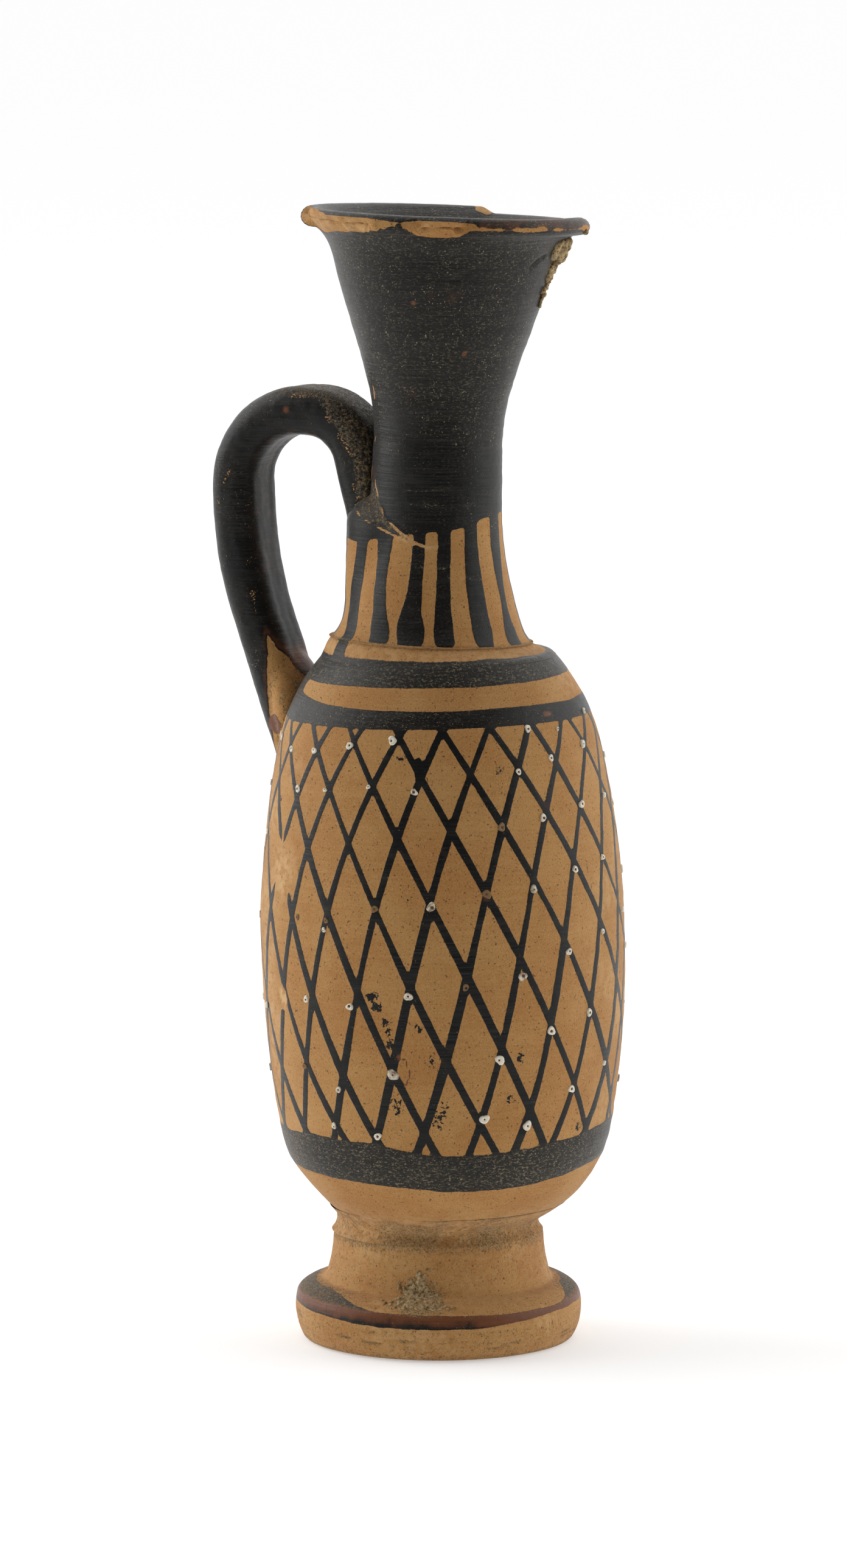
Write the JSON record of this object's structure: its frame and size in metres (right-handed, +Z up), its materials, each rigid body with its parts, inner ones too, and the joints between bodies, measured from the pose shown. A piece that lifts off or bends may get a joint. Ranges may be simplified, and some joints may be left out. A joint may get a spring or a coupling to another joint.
{
  "type": "lekythos",
  "caption": "Small Greek oil vessel with a flared mouth, narrow neck, strap handle, ovoid body painted with a net, and a disc foot; pours oil slowly.",
  "frame": {"origin": "centre of the foot's underside, on the plane that the vessel rests on", "axes": "+Z up through the vessel, -X towards the handle, +Y to the side that the neck leans to"},
  "size_m": [0.0605, 0.051, 0.1592],
  "materials": {
    "clay": "fired orange-buff clay, smoothed, with painted black gloss",
    "black_gloss": "black gloss slip, satin, worn"
  },
  "bodies": {
    "root": {"foot": "clay", "foot_joint_slip": "clay", "body": "clay", "neck_joint_slip": "clay", "neck": "clay", "mouth_joint_slip": "black_gloss", "mouth": "black_gloss", "handle": "black_gloss", "handle_top_joint_slip": "black_gloss", "handle_root_joint_slip": "black_gloss"}
  },
  "joints": []
}
